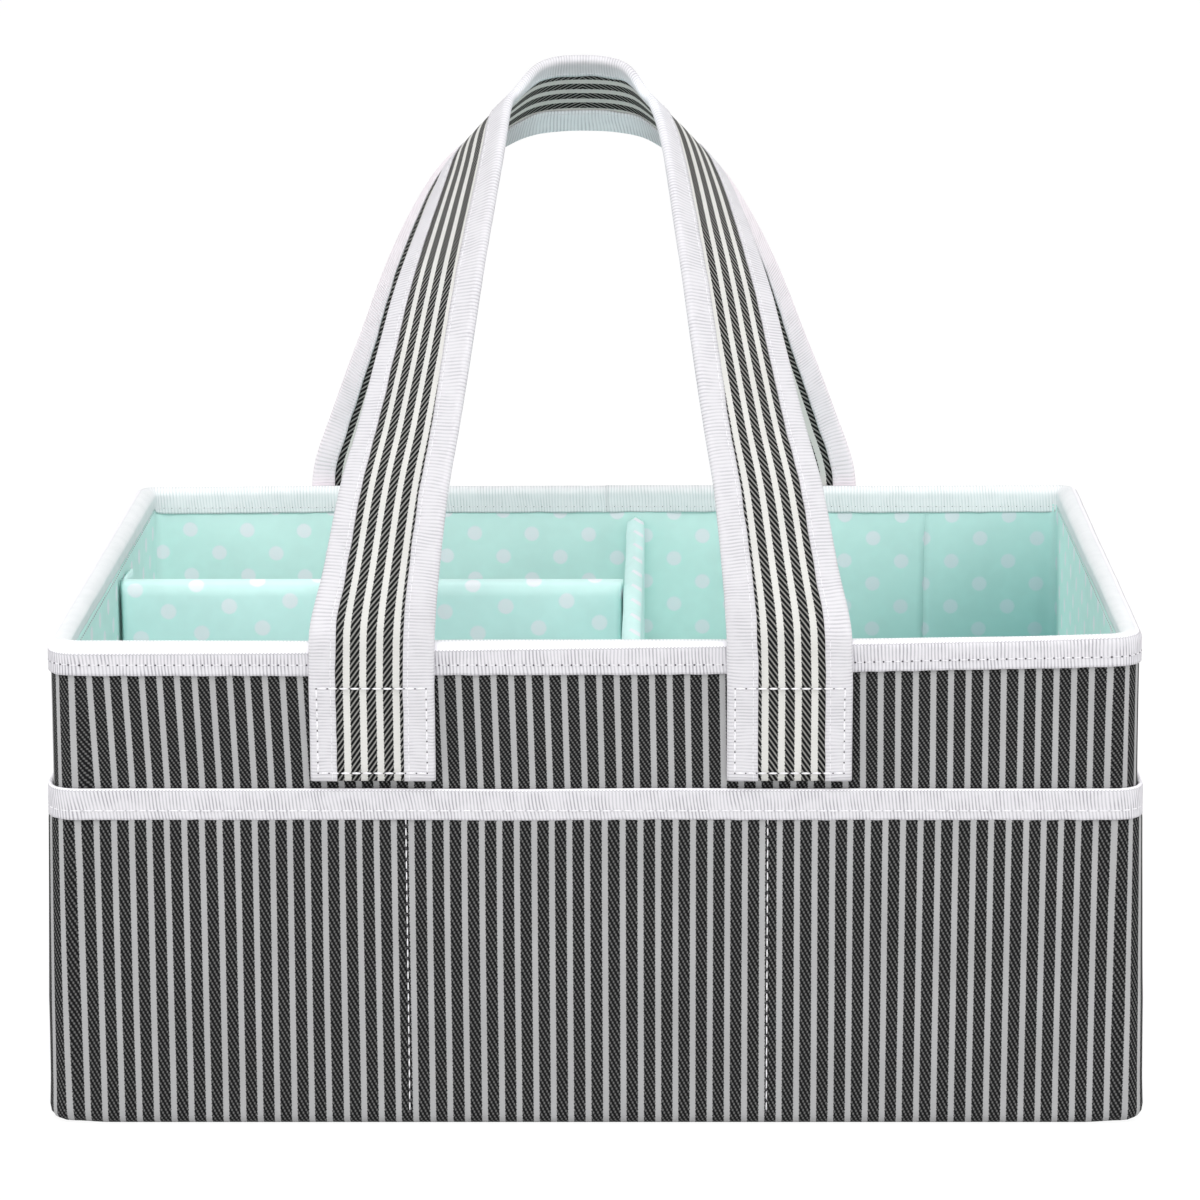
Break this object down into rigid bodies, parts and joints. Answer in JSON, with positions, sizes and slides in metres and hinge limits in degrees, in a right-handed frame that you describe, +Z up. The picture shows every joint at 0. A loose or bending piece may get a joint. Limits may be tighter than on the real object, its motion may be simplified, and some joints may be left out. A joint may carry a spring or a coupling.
{
  "type": "diaper caddy",
  "caption": "Soft-sided rectangular nursery caddy with a lined box, a lift-out divider, a pocket band round the outside and paired fabric carrying handles.",
  "frame": {"origin": "middle of the base's underside", "axes": "+X to the right along the long side, +Y from front to back, +Z up"},
  "size_m": [0.3892, 0.2635, 0.371],
  "materials": {
    "striped_twill": "charcoal twill with light grey stripes",
    "striped_webbing": "charcoal twill strap with off-white stripes",
    "white_grosgrain": "ribbed white grosgrain binding tape",
    "dotted_lining": "mint cotton with white polka dots",
    "divider_cloth": "mint cotton with white polka dots",
    "stiffening_board": "plain grey-brown fibre board",
    "hook_and_loop": "white hook-and-loop tape"
  },
  "bodies": {
    "box": {"outer_sleeve": "striped_twill", "outer_base_panel": "striped_twill", "front_board": "stiffening_board", "back_board": "stiffening_board", "left_board": "stiffening_board", "right_board": "stiffening_board", "base_board": "stiffening_board", "lining_sleeve": "dotted_lining", "base_pad": "dotted_lining", "rim_binding": "white_grosgrain", "pocket_band": "striped_twill", "pocket_binding": "white_grosgrain", "flange_loop_tape": "hook_and_loop", "front_left_end_strap": "striped_webbing", "front_left_end_inner_binding": "white_grosgrain", "front_left_end_outer_binding": "white_grosgrain", "front_right_end_strap": "striped_webbing", "front_right_end_inner_binding": "white_grosgrain", "front_right_end_outer_binding": "white_grosgrain", "back_left_end_strap": "striped_webbing", "back_left_end_inner_binding": "white_grosgrain", "back_left_end_outer_binding": "white_grosgrain", "back_right_end_strap": "striped_webbing", "back_right_end_inner_binding": "white_grosgrain", "back_right_end_outer_binding": "white_grosgrain"},
    "front_handle": {"front_handle_strap": "striped_webbing", "front_handle_inner_binding": "white_grosgrain", "front_handle_outer_binding": "white_grosgrain"},
    "back_handle": {"back_handle_strap": "striped_webbing", "back_handle_inner_binding": "white_grosgrain", "back_handle_outer_binding": "white_grosgrain"},
    "divider_insert": {"cross_divider_cover": "divider_cloth", "cross_divider_board": "stiffening_board", "long_divider_cover": "divider_cloth", "long_divider_board": "stiffening_board", "flange_hook_tape": "hook_and_loop"}
  },
  "joints": [
    {"name": "front_handle_swing", "type": "hinge", "parent": "box", "child": "front_handle", "pos_m": [-0.005, -0.1312, 0.16135], "axis": [1, 0, 0], "range_deg": [0, 150]},
    {"name": "back_handle_swing", "type": "hinge", "parent": "box", "child": "back_handle", "pos_m": [-0.0093, 0.1312, 0.16135], "axis": [-1, 0, 0], "range_deg": [0, 150]},
    {"name": "divider_lift_out", "type": "slide", "parent": "box", "child": "divider_insert", "axis": [0, 0, 1], "range_m": [0, 0.167]}
  ]
}
